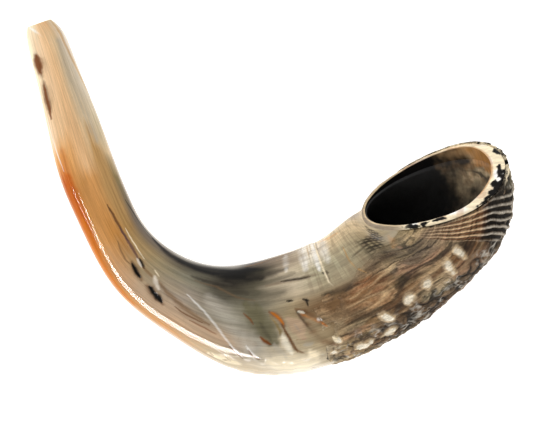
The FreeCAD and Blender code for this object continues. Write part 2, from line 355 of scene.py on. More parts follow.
# Marks on the skin: colour, width, how strong it is, how soft its edge is, how far it stands out
# of the skin, and its line as stations and angles. Widths and heights are in millimetres, widths
# at the middle of the mark: both its ends are thinner.
MARKS = [
    # The knots and the worn edge of the tip.
    ("russet", 7, 0.6, 1, 0, [(1.44, 44), (1.68, 43), (1.94, 44)]),
    ("brown", 6, 0.95, 0.7, -0.3, [(1.46, 42), (1.66, 41), (1.86, 43)]),
    ("russet", 5.6, 0.7, 1, -0.1, [(2.12, 46), (2.4, 43), (2.7, 43)]),
    ("brown", 2.6, 0.9, 0.8, -0.2, [(2.16, 44), (2.38, 41), (2.6, 41), (2.85, 40)]),
    ("ochre", 1.8, 0.75, 0.9, 0, [(0, 152), (0.5, 146), (1.3, 144), (1.9, 153), (2.6, 168)]),
    ("white", 1.3, 0.9, 0.9, 0.2, [(0.1, 46), (0.6, 72), (0.99, 89), (1.3, 103)]),
    ("ochre", 1, 0.8, 0.7, -0.2, [(-0.1, 109), (0.2, 104), (0.4, 102)]),
    ("ochre", 0.6, 0.6, 0.7, -0.2, [(0.02, 125), (0.2, 118), (0.34, 114)]),
    ("pewter", 6, 0.55, 1, 0, [(1.2, 128), (2, 126), (2.8, 126), (3.5, 132)]),
    ("white", 0.8, 0.6, 0.8, 0.1, [(2.8, 24), (3.26, 29), (3.6, 35), (3.9, 40)]),
    # The deep orange flank of the neck, and the amber edge that it runs on into.
    ("orange", 6, 0.4, 1, 0, [(3.5, 50), (4.1, 47), (4.7, 44), (5.3, 40)]),
    ("orange", 5, 0.8, 1, 0, [(4, 46), (4.5, 45), (5, 41), (5.7, 38)]),
    ("tangerine", 5, 0.8, 1, 0, [(5, 36), (5.6, 34), (6.2, 30), (7, 26)]),
    # Dark marks on the neck, and a painted highlight.
    ("russet", 1.3, 0.95, 0.6, -0.3, [(4.93, 101), (5.2, 104), (5.55, 105), (5.95, 106)]),
    ("mauve", 1.6, 0.9, 0.6, -0.3, [(5.55, 105), (5.9, 106), (6.2, 104), (6.45, 100)]),
    ("umber", 0.9, 0.75, 0.8, -0.1, [(5.8, 88), (6.04, 83), (6.28, 81), (6.42, 82)]),
    # A painted highlight: a thin cream line of light along the neck.
    ("cream", 0.6, 0.75, 0.6, 0.2, [(5.66, 114), (6.14, 112), (6.59, 107)]),
    ("ink", 1.9, 0.95, 0.6, -0.4, [(6.5, 101), (6.6, 98), (6.72, 95)]),
    ("pearl", 1.2, 0.9, 0.5, 0.2, [(6.44, 98), (6.54, 96), (6.66, 93)]),
    ("umber", 1.8, 0.7, 0.9, -0.1, [(6.69, 95), (6.85, 94), (6.99, 93)]),
    ("russet", 3.2, 0.6, 0.9, 0, [(6.4, 86), (6.6, 82), (6.84, 77)]),
    ("ink", 2.3, 1, 0.6, -0.5, [(6.44, 85), (6.62, 81), (6.78, 78)]),
    ("russet", 4.2, 0.6, 0.9, 0, [(7.02, 76), (7.22, 72), (7.46, 66)]),
    ("ink", 2.6, 1, 0.6, -0.5, [(7.06, 77), (7.18, 73), (7.28, 71)]),
    ("ink", 3.2, 1, 0.6, -0.5, [(7.24, 71), (7.34, 70), (7.42, 68)]),
    ("pearl", 2.4, 0.85, 0.8, 0.2, [(7.04, 95), (7.14, 89), (7.26, 83)]),
    ("cream", 0.6, 0.75, 0.6, 0.1, [(6.95, 104), (7.12, 100)]),
    ("umber", 2.4, 0.7, 0.9, -0.2, [(7.18, 93), (7.41, 86), (7.74, 81), (8.1, 76), (8.5, 72)]),
    ("russet", 0.9, 0.85, 0.7, -0.2, [(7.7, 73), (7.85, 71), (8.05, 71), (8.35, 71)]),
    ("brown", 0.9, 0.6, 0.8, -0.1, [(8.05, 66), (8.4, 66), (8.7, 64)]),
    # The pale line across the bend, the two hooked cracks at its end with a painted highlight in
    # white beside each, and a painted sheen in silver over the bend.
    ("white", 1, 0.5, 0.9, 0.2, [(7.84, 98), (8.3, 87), (8.65, 75), (9.05, 58), (9.1, 56)]),
    # Painted highlights: white lines where the two hooked ring steps catch the light, beside their
    # brown cracks.
    ("white", 0.9, 0.9, 0.6, 0.3, [(9.05, 57), (9.2, 52), (9.34, 46)]),
    ("brown", 0.7, 0.95, 0.6, -0.3, [(9.05, 55), (9.18, 50), (9.34, 44)]),
    ("white", 0.9, 0.9, 0.6, 0.3, [(9.41, 61), (9.52, 54), (9.68, 48)]),
    ("brown", 0.7, 0.9, 0.6, -0.3, [(9.46, 56), (9.56, 50), (9.7, 46)]),
    # A painted sheen: a broad soft silver patch where the top of the bend shows a grey reflection.
    ("silver", 9, 0.5, 1, 0, [(8.35, 104), (8.8, 90), (9.2, 74), (9.5, 58)]),
    # The dark band along the inside of the bend.
    ("pitch", 1, 0.8, 0.8, 0, [(5, 146), (5.5, 155), (6.2, 159), (7, 152)]),
    ("ink", 3, 0.9, 0.9, 0, [(6.4, 156), (7, 148), (7.7, 146), (8.5, 142)]),
    ("ink", 5.5, 0.9, 1, 0, [(7.7, 148), (8.2, 148), (8.8, 142), (9.35, 135), (9.8, 131)]),
    ("pitch", 3.6, 0.85, 1, 0, [(7.8, 127), (8.4, 128), (9, 120), (9.4, 116)]),
    ("smoke", 7, 0.55, 1, 0, [(8.6, 118), (9.2, 114), (9.8, 112), (10.3, 112)]),
    ("pitch", 3.4, 0.75, 1, 0, [(9.4, 136), (9.9, 134), (10.5, 136)]),
    ("smoke", 3, 0.6, 1, 0, [(9.6, 124), (10.1, 126), (10.7, 128)]),
    ("umber", 1, 0.4, 0.9, 0, [(7.9, 122), (8.5, 122), (9.1, 112), (9.6, 108)]),
    ("umber", 1.6, 0.8, 0.8, 0, [(9.3, 158), (9.8, 160), (10.3, 163), (10.8, 165)]),
    # Streaks and specks on the waist, and painted highlights on its rings.
    ("bark", 1.8, 0.6, 0.9, -0.1, [(9.9, 122), (10.4, 122), (10.8, 120), (11.3, 119)]),
    ("ink", 1.1, 0.9, 0.8, -0.2, [(10.3, 123), (10.6, 122), (10.9, 120), (11.1, 119)]),
    ("ink", 1.6, 0.95, 0.8, -0.3, [(11.52, 118), (11.72, 116)]),
    ("ink", 1.1, 0.95, 0.6, -0.3, [(10.38, 103), (10.53, 102)]),
    ("ink", 1.2, 0.95, 0.6, -0.3, [(10.76, 101), (10.91, 98)]),
    ("ink", 1.1, 0.95, 0.6, -0.3, [(10.84, 100), (10.86, 93)]),
    # Painted highlights: white and bone bars where the rings near the inside of the waist catch the
    # light.
    ("white", 2.6, 0.3, 1, 0.1, [(10.52, 160), (10.5, 148), (10.47, 132)]),
    ("white", 4.6, 0.6, 1, 0.1, [(11.16, 172), (11.12, 152), (11.03, 128)]),
    ("bone", 3, 0.6, 1, 0.1, [(11.34, 172), (11.3, 150), (11.26, 128)]),
    ("white", 3.6, 0.75, 1, 0.2, [(11.58, 172), (11.54, 148), (11.47, 122)]),
    ("white", 4.2, 0.5, 1, 0.1, [(12.02, 160), (11.94, 144), (11.86, 126)]),
    ("umber", 0.9, 0.65, 0.9, -0.1, [(11.68, 172), (11.66, 150), (11.62, 122)]),
    ("ochre", 0.7, 0.55, 0.9, 0, [(11.28, 165), (11.26, 140)]),
    ("ochre", 0.7, 0.5, 0.9, 0, [(11.4, 168), (11.38, 146)]),
    # A painted highlight along the edge of the step, in cream.
    ("cream", 1, 0.85, 0.7, 0.2, [(11.62, 168), (11.62, 145), (11.6, 122), (11.6, 108), (11.73, 99)]),
    ("slate", 0.6, 0.6, 0.7, -0.2, [(11.66, 121), (11.64, 108), (11.76, 100)]),
    # The sunken patch on the waist, and the torn layers round it.
    ("flint", 8, 0.6, 1, 0, [(9.7, 92), (9.9, 80), (10.05, 66)]),
    ("moss", 7, 0.9, 0.7, -0.5, [(9.36, 104), (9.66, 88), (9.96, 64)]),
    ("moss", 7, 0.8, 0.7, -0.5, [(9.66, 102), (9.86, 86), (10.06, 66)]),
    ("smoke", 2, 0.6, 0.9, -0.1, [(9.72, 86), (9.84, 76), (9.94, 68)]),
    ("olive", 0.8, 0.7, 0.6, 0.2, [(9.96, 92), (10.12, 82), (10.18, 70)]),
    ("brown", 1.7, 0.95, 0.6, -0.3, [(9.72, 71), (9.82, 67), (9.95, 63)]),
    ("brown", 0.9, 0.8, 0.7, -0.2, [(9.31, 95), (9.49, 89), (9.56, 84)]),
    ("pewter", 4, 0.6, 0.9, -0.2, [(10.02, 62), (10.16, 55), (10.25, 48)]),
    ("bone", 3.4, 0.8, 0.9, 0.1, [(10.2, 72), (10.28, 62), (10.35, 52)]),
    ("drab", 1.6, 0.8, 0.8, -0.2, [(10.08, 84), (10.18, 76), (10.16, 72)]),
    ("fawn", 6, 0.9, 0.5, 0.2, [(10.36, 86), (10.5, 78), (10.62, 66)]),
    ("fawn", 4.6, 0.85, 0.5, 0.2, [(10.52, 84), (10.66, 72)]),
    ("stone", 1, 0.6, 0.9, 0, [(10.48, 80), (10.58, 72)]),
    ("brown", 2.4, 0.7, 0.9, -0.1, [(9.96, 96), (10.14, 90), (10.28, 80)]),
    ("tangerine", 1.2, 0.75, 0.9, 0.1, [(10, 95), (10.14, 90), (10.26, 82)]),
    ("russet", 1.6, 0.95, 0.6, -0.2, [(10.22, 82), (10.32, 70), (10.42, 58), (10.46, 52)]),
    ("umber", 1.4, 0.9, 0.6, -0.2, [(10.36, 64), (10.46, 54), (10.62, 48)]),
    ("brown", 0.7, 0.85, 0.7, -0.2, [(10.48, 65), (10.62, 64), (10.76, 65), (10.91, 55)]),
    ("pewter", 2.4, 0.7, 0.8, 0, [(10.6, 58), (10.8, 58)]),
    # Where the crust begins.
    ("russet", 3.6, 0.75, 1, 0.2, [(10.62, 90), (10.8, 72), (10.98, 58), (11.24, 48)]),
    ("soil", 1.2, 0.8, 0.7, -0.3, [(10.56, 92), (10.72, 78), (10.86, 66)]),
    ("russet", 1.8, 0.75, 0.9, 0.1, [(10.55, 94), (10.74, 90), (10.92, 83), (11.12, 72)]),
    ("tangerine", 1.4, 0.6, 1, 0.2, [(10.66, 88), (10.98, 78), (11.16, 70)]),
    ("bone", 1.1, 0.9, 0.7, 0.3, [(10.6, 91), (10.74, 88)]),
    ("white", 1.5, 0.85, 0.7, 0.3, [(10.96, 80), (11.08, 77)]),
    ("cream", 2.2, 0.8, 0.8, 0.3, [(11.16, 58), (11.3, 53)]),
    ("brown", 0.9, 0.9, 0.6, -0.4, [(10.89, 50), (10.88, 38), (10.86, 27)]),
    ("ink", 0.8, 0.9, 0.6, -0.4, [(11, 50), (10.98, 38), (10.97, 28)]),
    ("ink", 2.4, 0.95, 0.8, -0.4, [(11.22, 30), (11.32, 26)]),
    ("brown", 1, 0.9, 0.8, -0.2, [(10.66, 22), (10.73, 20)]),
    # The specked cream patch, and the cream belly beside it.
    ("cream", 4.2, 0.85, 0.7, 0.3, [(8.6, 30), (8.94, 34), (9.29, 33)]),
    ("brown", 0.6, 0.8, 0.7, -0.2, [(8.62, 33), (8.72, 30)]),
    ("umber", 0.7, 0.8, 0.7, -0.2, [(8.92, 30), (9.02, 34)]),
    ("umber", 0.6, 0.7, 0.7, -0.2, [(8.98, 37), (9.1, 35)]),
    ("cream", 8, 0.8, 1, 0.2, [(9.9, 44), (10.3, 36), (10.75, 34)]),
    ("cream", 5, 0.8, 0.9, 0.2, [(10.7, 50), (10.8, 40)]),
    # The dark streaks where the crust meets the horn.
    ("pitch", 2.2, 0.85, 0.9, -0.2, [(11.29, 99), (11.5, 98), (11.9, 95), (12.4, 93)]),
    ("soil", 3.4, 0.8, 1, -0.2, [(11.6, 99), (12.2, 96), (12.9, 96), (13.6, 100)]),
    ("soil", 1.6, 0.75, 1, -0.2, [(12.8, 100), (13.5, 100), (14.2, 103), (14.9, 104)]),
    ("smoke", 3, 0.7, 1, 0, [(13.6, 96), (14.4, 98), (15.2, 99), (15.9, 101)]),
    ("soil", 1.2, 0.7, 1, -0.2, [(13.9, 92), (14.5, 88), (15.1, 84)]),
    ("ochre", 1, 0.75, 0.8, 0.3, [(12.69, 130), (12.59, 116), (12.62, 107), (12.83, 98)]),
    ("amber", 1.6, 0.5, 1, 0, [(11.9, 160), (12.3, 155), (12.8, 152)]),
    # The cross-hatched patch beside the mouth, and the orange sparkle next to it.
    ("soil", 3, 0.55, 1, 0, [(13.5, 121), (14.1, 125), (14.8, 130)]),
    ("soil", 5, 0.5, 1, 0, [(14.5, 124), (15.1, 130), (15.6, 134)]),
    ("pitch", 0.9, 0.85, 0.9, -0.2, [(12.72, 117), (13.1, 118), (13.6, 119)]),
    ("pitch", 1.2, 0.75, 0.9, -0.2, [(13.2, 113), (13.8, 114), (14.4, 117)]),
    ("caramel", 4, 0.45, 1, 0, [(14.9, 110), (15.4, 116), (15.8, 122)]),
    ("rose", 1.6, 0.8, 0.8, 0.2, [(15.02, 108), (15.12, 105)]),
]


def line_points(line):
    """Points on the skin every quarter of the way between a line's stations and angles."""
    stations, angles = np.array(line, float).T
    ordinal = np.arange(len(line))
    steps = np.linspace(0, len(line) - 1, 4 * (len(line) - 1) + 1)
    return Sections(np.interp(steps, ordinal, stations)).skin(np.interp(steps, ordinal, angles))


def distance_to_line(places, line):
    """How far places are from a line, and how far along the line from 0 to 1 they are nearest."""
    best = np.full(len(places), np.inf)
    share = np.zeros(len(places))
    for i, (start, end) in enumerate(zip(line[:-1], line[1:])):
        step = end - start
        part = np.clip((places - start) @ step / (step @ step), 0, 1)
        distance = np.linalg.norm(places - start - part[:, None] * step, axis=1)
        closer = distance < best
        best[closer] = distance[closer]
        share[closer] = (i + part[closer]) / (len(line) - 1)
    return best, share


def mark_share(station, places, width, softness, line):
    """How strongly each place is covered by a mark, from 0 to 1."""
    stations = [point[0] for point in line]
    reach = width / 10 + 0.3
    near = (station > min(stations) - reach) & (station < max(stations) + reach)
    cover = np.zeros(station.shape)
    if near.any():
        distance, share = distance_to_line(places[near], line_points(line))
        tapered = width / 2 * (0.35 + 0.65 * np.sin(math.pi * np.clip(share, 0.02, 0.98)) ** 0.6)
        cover[near] = 1 - smooth((distance / tapered - 1 + softness) / (2 * softness))
    return cover


def paint_marks(station, place, grain, tint):
    """The tint with every mark painted on it, and how far the marks stand out.

    The softest marks are broken up along the fibres.
    """
    drift = [noise(place, 2.2, seed) + 0.6 * noise(place, 0.9, seed + 9) for seed in (31, 32, 33)]
    drift = np.stack(drift, -1)
    streaks = 0.45 + 0.55 * smooth(0.75 + noise(drawn(grain, 0.06), 1.5, 35))
    relief = np.zeros(station.shape)
    for colour, width, strength, softness, rise, line in MARKS:
        drifted = place + min(0.5, 0.12 * width) * drift
        cover = mark_share(station, drifted, width, softness, line)
        if softness > 0.95:
            cover = cover * streaks
        tint = paint(tint, colour, strength * cover)
        relief += rise * cover
    return tint, relief


HATCH_STATIONS = [13.2, 14.4, 15.0, 15.6, 16.4]
HATCH_ANGLES = [117, 121, 130, 138, 150]


def hatching(station, angle, grain):
    """How dark the fine lines are that run along and across the horn in a patch by the mouth."""
    middle = np.interp(station, HATCH_STATIONS, HATCH_ANGLES)
    inside = smooth((station - 13.1) / 0.6) * smooth((16.4 - station) / 0.5)
    inside = inside * smooth((12 + 4 * noise(grain, 5, 59) - np.abs(angle - middle)) / 7)
    across = smooth(0.5 + 1.4 * np.sin(2 * math.pi * station / 0.36) + 0.3 * noise(grain, 3, 57))
    lengthwise = 0.5 + 1.4 * np.sin(2 * math.pi * angle / 3.4) + 0.6 * noise(grain, 4, 58)
    return inside * np.maximum(0.7 * across, smooth(lengthwise))


def growth_lines(station, angle):
    """How dark the fine lines are that run across the horn on the inside of its last curve."""
    angle = np.abs(angle)
    lines = creases(np.stack([22 * station, angle / 9, 0 * station], -1), 3, 61)
    inside = smooth((station - 10.6) / 0.6) * smooth((15.8 - station) / 0.8)
    return inside * smooth((angle - 96) / 12) * smooth(-1.5 * lines - 0.2)


def skin_tint(station, angle, place, grain):
    """The skin's colour with its marks, and how far the marks stand out."""
    tint, relief = paint_marks(station, place, grain, base_tones(station, angle, place, grain))
    tint = paint(tint, "bark", 0.35 * growth_lines(station, angle))
    hatched = hatching(station, angle, grain)
    return paint(tint, "ink", 0.85 * hatched), relief - 0.1 * hatched


# ---------------------------------------------------------------------------------------------
# Meshes.

def grid_normals(points, closed=True):
    """Outward unit normals of a grid of points, whose columns go all round if closed."""
    if closed:
        around = np.roll(points, -1, 1) - np.roll(points, 1, 1)
    else:
        around = np.gradient(points, axis=1)
    ahead = np.gradient(points, axis=0)
    normals = np.cross(ahead, around)
    return normals / np.maximum(np.linalg.norm(normals, axis=-1, keepdims=True), 1e-12)


# Points and what their surface carries: normals, colour, polish, and where the fibres run.
Surface = namedtuple("Surface", "points normals tint polish grain")
BACKWARDS = slice(None, None, -1)


def part_of(surface, keep):
    return Surface(*[values[keep] for values in surface])


def joined(surfaces):
    """Surfaces one after the other, as one."""
    return Surface(*[np.concatenate(values) for values in zip(*surfaces)])


def flattened(surface):
    """A grid of points as one row of them."""
    return Surface(*[values.reshape(-1, *values.shape[2:]) for values in surface])


def make_piece(name, surface, faces, node, material):
    """A piece with that surface, in millimetres, which takes the place of a node of the part."""
    mesh = bpy.data.meshes.new(name)
    mesh.vertices.add(len(surface.points))
    mesh.vertices.foreach_set("co", (surface.points * METRES).astype(np.float32).ravel())
    counts = np.array([len(face) for face in faces])
    corners = np.concatenate(faces)
    mesh.loops.add(len(corners))
    mesh.loops.foreach_set("vertex_index", corners.astype(np.int32))
    mesh.polygons.add(len(counts))
    starts = np.concatenate([[0], np.cumsum(counts)[:-1]])
    mesh.polygons.foreach_set("loop_start", starts.astype(np.int32))
    mesh.polygons.foreach_set("use_smooth", np.ones(len(counts), bool))
    for field, kind, part in (("tint", "FLOAT_VECTOR", "vector"),
                              ("grain", "FLOAT_VECTOR", "vector"),
                              ("polish", "FLOAT", "value")):
        values = getattr(surface, field).astype(np.float32)
        mesh.attributes.new(field, kind, "POINT").data.foreach_set(part, values.ravel())
    mesh.update()
    mesh.validate()
    mesh.normals_split_custom_set_from_vertices(surface.normals.astype(np.float32))
    mesh.materials.append(material)
    piece = bpy.data.objects.new(name, mesh)
    bpy.context.scene.collection.objects.link(piece)
    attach(piece, "root")
    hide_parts(node)


def ring_faces(rings, columns):
    """Faces between rings of points, the last joined to the first, all round."""
    ring = np.arange(rings)[:, None] * columns
    after = np.roll(ring, -1, axis=0)
    column = np.arange(columns)[None, :]
    beside = np.roll(column, -1, axis=1)
    corners = [ring + column, after + column, after + beside, ring + beside]
    return np.stack([corner.ravel() for corner in corners], 1)


def lengths_along(points):
    """How far each point of a row is from the first, measured along the row."""
    steps = np.linalg.norm(np.diff(points, axis=0), axis=1)
    return np.concatenate([[0], np.cumsum(steps)])


ANGLES = -180 + 360 * np.arange(COLUMNS)[None, :] / COLUMNS
LENGTH_STATIONS = np.linspace(0, MOUTH, 1701)
MIDDLE_LENGTHS = lengths_along(Sections(LENGTH_STATIONS).centre)
OUTER_LENGTHS = lengths_along(Sections(LENGTH_STATIONS).skin(0))


def rows_between(first, last, step):
    """Stations from first to last, a step apart along the outside of the curve."""
    ends = np.interp([first, last], LENGTH_STATIONS, OUTER_LENGTHS)
    count = max(2, math.ceil((ends[1] - ends[0]) / step))
    return np.interp(np.linspace(*ends, count + 1), OUTER_LENGTHS, LENGTH_STATIONS)


def grain_of(station, angle, wide=20.0):
    """Where the horn's fibres run: the length along it, and two coordinates across them."""
    length = np.interp(station, LENGTH_STATIONS, MIDDLE_LENGTHS)
    turn = np.radians(angle)
    return np.stack(np.broadcast_arrays(length, wide * np.cos(turn), wide * np.sin(turn)), -1)


def tip_axis():
    """The section at the cut end, and the way from it into the horn."""
    tip = Sections(0)
    return tip, unit(Sections(3).centre - tip.centre)


def file_flats(points):
    """Points of the tip, brought in to the flats that are filed on it."""
    tip, direction = tip_axis()
    lean = math.radians(FLAT_TAPER)
    for angle in FLAT_ANGLES:
        turn = math.radians(angle)
        side = tip.outward * math.cos(turn) + tip.upward * math.sin(turn)
        normal = side * math.cos(lean) - direction * math.sin(lean)
        beyond = (points - tip.centre - side * FLAT_DISTANCE) @ normal
        inside = FLAT_ROUNDING * np.logaddexp(0, beyond / FLAT_ROUNDING)
        points = points - inside[..., None] * side / (side @ normal)
    return points


def skin_relief(station, angle, place, grain):
    """How far the skin stands out: waves along it, rings on its belly and a step at the waist."""
    fibres = drawn(grain, 0.05)
    relief = 0.10 * noise(fibres, 9, 51) + 0.05 * noise(fibres, 4, 52)
    relief += 0.22 * noise(place, 26, 53) * smooth((station - 5) / 3)
    above = smooth((angle + 20) / 40)
    belly = smooth((station - 8.6) / 0.8) * smooth((11.2 - station) / 0.6)
    ripple = np.sin(2 * math.pi * (station + 0.25 * noise(place, 18, 54)) / 0.33)
    relief += 0.20 * ripple * belly * above * smooth((110 - np.abs(angle)) / 40)
    step = smooth((11.54 + 0.05 * noise(place, 7, 55) - station) / 0.06)
    back = smooth((station - 10.6) / 0.9)
    relief += 0.5 * step * back * smooth((np.abs(angle) - 85) / 15)
    return relief


# The long light low on the left, in metres: its middle, the point it faces, its size and power.
STRIP_PLACE = (-0.55, -0.86, 0.22)
STRIP_AIM = (0.0, 0.0, 0.02)
STRIP_SIZE = (1.9, 0.06)
STRIP_POWER = 42.0


def strip_ends():
    """The two ends of the long light's middle line."""
    way = Vector(STRIP_AIM) - Vector(STRIP_PLACE)
    side = way.cross(Vector((0, 0, 1))).normalized() * STRIP_SIZE[0] / 2
    return Vector(STRIP_PLACE) - side, Vector(STRIP_PLACE) + side


# A narrow facet scraped along the flank, which catches the long light: station, angle and width.
FACET = [(4.4, 57, 0.5), (5.2, 55, 0.8), (5.9, 52, 1.5), (6.5, 48, 2.6), (7.3, 44, 3.2),
         (8.2, 46, 3.4), (9.2, 50, 2.8), (9.75, 48, 1.2)]
FACET_EDGE = 1.0
FACET_DEPTH = 0.6


def scrape_facet(station, points, normals):
    """How far the skin is moved to make the facet, which mirrors the long light straight up."""
    stations, angles, widths = np.array(FACET).T
    turn = np.interp(station, stations, angles)
    width = np.interp(station, stations, widths, left=0, right=0)
    sections = Sections(station)
    middle = sections.horn(turn)
    outward = unit(np.cross(sections.horn(turn + 1) - middle, sections.forward))
    ahead = unit(np.gradient(middle, axis=0))
    facing = outward * np.sign(outward[..., 2:])
    first, last = [np.array(end) / METRES for end in strip_ends()]
    span = last - first
    gap = middle - first
    # Where along the strip the mirror looks and how it leans depend on each other.
    for _ in range(5):
        share = ((gap[..., 0] * facing[..., 1] - gap[..., 1] * facing[..., 0])
                 / (span[0] * facing[..., 1] - span[1] * facing[..., 0]))
        to_light = unit(first + np.clip(share, 0, 1)[..., None] * span - middle)
        facing = to_light + np.array([0, 0, 1])
        facing = unit(facing - (facing * ahead).sum(-1, keepdims=True) * ahead)
    offset = points - middle
    depth = -(offset * facing).sum(-1) / np.maximum((normals * facing).sum(-1), 0.3)
    away = np.linalg.norm(offset, axis=-1)
    cover = smooth((width / 2 + FACET_EDGE - away) / FACET_EDGE) * (width > 0)
    return np.clip(depth, -FACET_DEPTH, FACET_DEPTH) * cover, cover


def stand_out(points, normals, relief):
    """Points moved out along their normals, but not into the floor."""
    clear = smooth((points[..., 2] - 0.6) / 3)
    return points + normals * (relief * clear)[..., None]


def make_skin():
    """The whole outside of the horn under the crust, and the row at which each cone ends."""
    ends = [0] + RING_LINES + [SKIN_END]
    stations = [rows_between(a, b, SKIN_STEP)[:-1] for a, b in zip(ends[:-1], ends[1:])]
    breaks = np.cumsum([0] + [len(rows) for rows in stations])
    rows = np.concatenate(stations + [[SKIN_END]])
    sections = Sections(rows[:, None])
    plain = sections.horn(ANGLES)
    plain[rows < FLATS_END] = file_flats(plain[rows < FLATS_END])
    station, angle = np.broadcast_arrays(sections.station, ANGLES)
    grain = grain_of(station, angle)
    tint, marks = skin_tint(station, angle, plain, grain)
    relief = skin_relief(station, angle, plain, grain) * smooth(station - 0.3) + marks
    # Nothing stands out under the crust.
    relief *= 1 - smooth(station - 12) * smooth((sections.wrap + 15 - np.abs(angle)) / 15)
    normals = grid_normals(plain)
    scraped, facet = scrape_facet(sections.station, plain, normals)
    points = stand_out(plain, normals, relief * (1 - facet) + scraped)
    # The polish ends at the waist on the outside of the curve, and halves on the bell.
    polish = 1 - 0.75 * smooth((station - 11.2) / 1.2) * smooth((125 - np.abs(angle)) / 30)
    polish *= 1 - 0.5 * smooth((station - 12.2) / 1.5)
    return Surface(points, grid_normals(points), tint, polish, grain), breaks


def inner_points(station, angle):
    """The wall of the drilled bore, and of the hollow that it opens into."""
    sections = Sections(station)
    tip, direction = tip_axis()
    depth = (sections.centre - tip.centre) @ direction
    radius = mix(CUP_RADIUS, BORE_RADIUS, np.clip(depth / CUP_DEPTH, 0, 1))[..., None]
    turn = np.radians(angle)[..., None]
    ring = sections.outward * np.cos(turn) + sections.upward * np.sin(turn)
    bore = tip.centre + direction * depth[..., None] + ring * radius
    share = smooth((station - HOLLOW_START) / HOLLOW_BLEND)
    return mix(bore, sections.hollow(angle), share[..., None])


def inner_tint(station, angle, place):
    """The inside of the horn: near-black as painted shade, and lighter and browner where it is lit,
    at the outside of the curve by the mouth.
    """
    # light is the share of the inside that light reaches: from the mouth inwards, and round from the
    # outside of the curve.
    light = smooth((station - 15.0 - 0.45 * rough_noise(place, 7, 135, 4)) / 1.3)
    light = light * smooth((68 + 16 * rough_noise(place, 9, 137, 4) - np.abs(angle + 16)) / 40)
    # Painted shade: outside the lit share the inside is painted near-black ink.
    tint = paint(linear("ink") * 0.4, "parchment", light)
    blotch = smooth(rough_noise(place, 4, 139, 5) * 1.6 + 0.2)
    tint = paint(tint, "umber", 0.72 * blotch * light)
    pale = smooth(rough_noise(place, 4, 149, 4) * 1.5 - 0.4)
    tint = paint(tint, "cream", 0.5 * pale * light)
    cracks = creases(place * np.array([1, 1, 0.5]), 9, 147, 2)
    tint = paint(tint, "ink", 0.8 * smooth(-cracks * 2 - 0.9) * light)
    edge = smooth((station - 16.30 + 0.15 * rough_noise(place, 5, 143)) / 0.20) * light
    edge = edge * smooth((48 - angle) / 40)
    return paint(tint, "caramel", 0.9 * edge)


def inside_rings(rows):
    """Rings of the wall of the bore and hollow at stations."""
    points = inner_points(rows[:, None], ANGLES)
    station, angle = np.broadcast_arrays(rows[:, None], ANGLES)
    tint = inner_tint(station, angle, points)
    tint = mix(linear("wheat"), tint, smooth(station / 1.5)[..., None])
    grain = grain_of(station, angle, 12)
    return Surface(points, grid_normals(points), tint, 0 * station, grain)


def shares_between(first, last, count):
    """Numbers between first and last, without either, as a column."""
    return np.linspace(first, last, count + 2)[1:-1, None]


def cone_face(ring_line):
    """Rings of the face between two growth cones, from the skin inwards, without its edges."""
    share = shares_between(1, 0, CONE_FACE_ROWS)
    station = ring_line - SPIGOT + SPIGOT * share
    points = mix(inner_points(station, ANGLES), Sections(station).horn(ANGLES), share[..., None])
    station, angle = np.broadcast_arrays(station, ANGLES)
    tint = np.broadcast_to(linear("wheat"), points.shape)
    polish = np.full(station.shape, 0.5)
    return Surface(points, grid_normals(points), tint, polish, grain_of(station, angle))


def make_lip(outer, inner):
    """Rings of the rounded lip from the last ring of the cup to the first of the skin."""
    share = shares_between(0, 1, LIP_ROWS)[..., None]
    forward = Sections(0).forward
    points = mix(inner.points[-1:], outer.points[:1], share)
    points = points - forward * LIP_HEIGHT * (4 * share * (1 - share)) ** 0.5
    tint = mix(linear("cream"), linear("ivory"), share) * np.ones_like(points)
    polish = np.full(points.shape[:2], 0.8)
    normals = np.broadcast_to(-forward, points.shape)
    return Surface(points, normals, tint, polish, grain_of(0 * polish, ANGLES))


# Where the crust's black remains lie on the rim: the angle round it, the share of the way in, and
# how far they reach in degrees and in that share.
RIM_STAINS = [
    (-22, 0.05, 10, 0.34), (9, 0.42, 8, 0.20), (15, 0.05, 14, 0.30), (24, 0.55, 7, 0.16),
    (36, 0.10, 16, 0.30), (90, 0.55, 8, 0.26), (102, 0.50, 6, 0.30), (109, 0.30, 9, 0.34),
]


def rim_tint(points, share):
    """The rim's cream horn, with black remains of the crust along its outer half."""
    angle = np.broadcast_to(ANGLES, points.shape[:2])
    tint = paint(linear("cream"), "white", smooth(noise(points, 6, 81) * 2))
    tint = paint(tint, "blond", 0.7 * smooth(noise(points, 9, 82) * 2.4 - 0.2))
    tint = paint(tint, "rose", 0.5 * smooth(noise(points, 5, 84) * 3 - 0.6))
    inside = smooth((np.abs(angle) - 112) / 16)
    tint = paint(tint, "ash", 0.9 * inside)
    tint = paint(tint, "parchment", inside * smooth((share - 0.45) / 0.3))
    black = np.zeros(angle.shape)
    ragged = 0.75 * rough_noise(points, 2.2, 85, 3)
    for at, across, reach, depth in RIM_STAINS:
        away = np.hypot((angle - at) / reach, (share - across) / depth) + ragged
        black = np.maximum(black, 1 - smooth((away - 0.8) / 0.25))
    black = black * (1 - inside)
    tint = paint(tint, "ink", black)
    edge = smooth((share - 0.80) / 0.12) * smooth((70 - np.abs(angle + 12)) / 20)
    return paint(tint, "caramel", 0.7 * edge), black


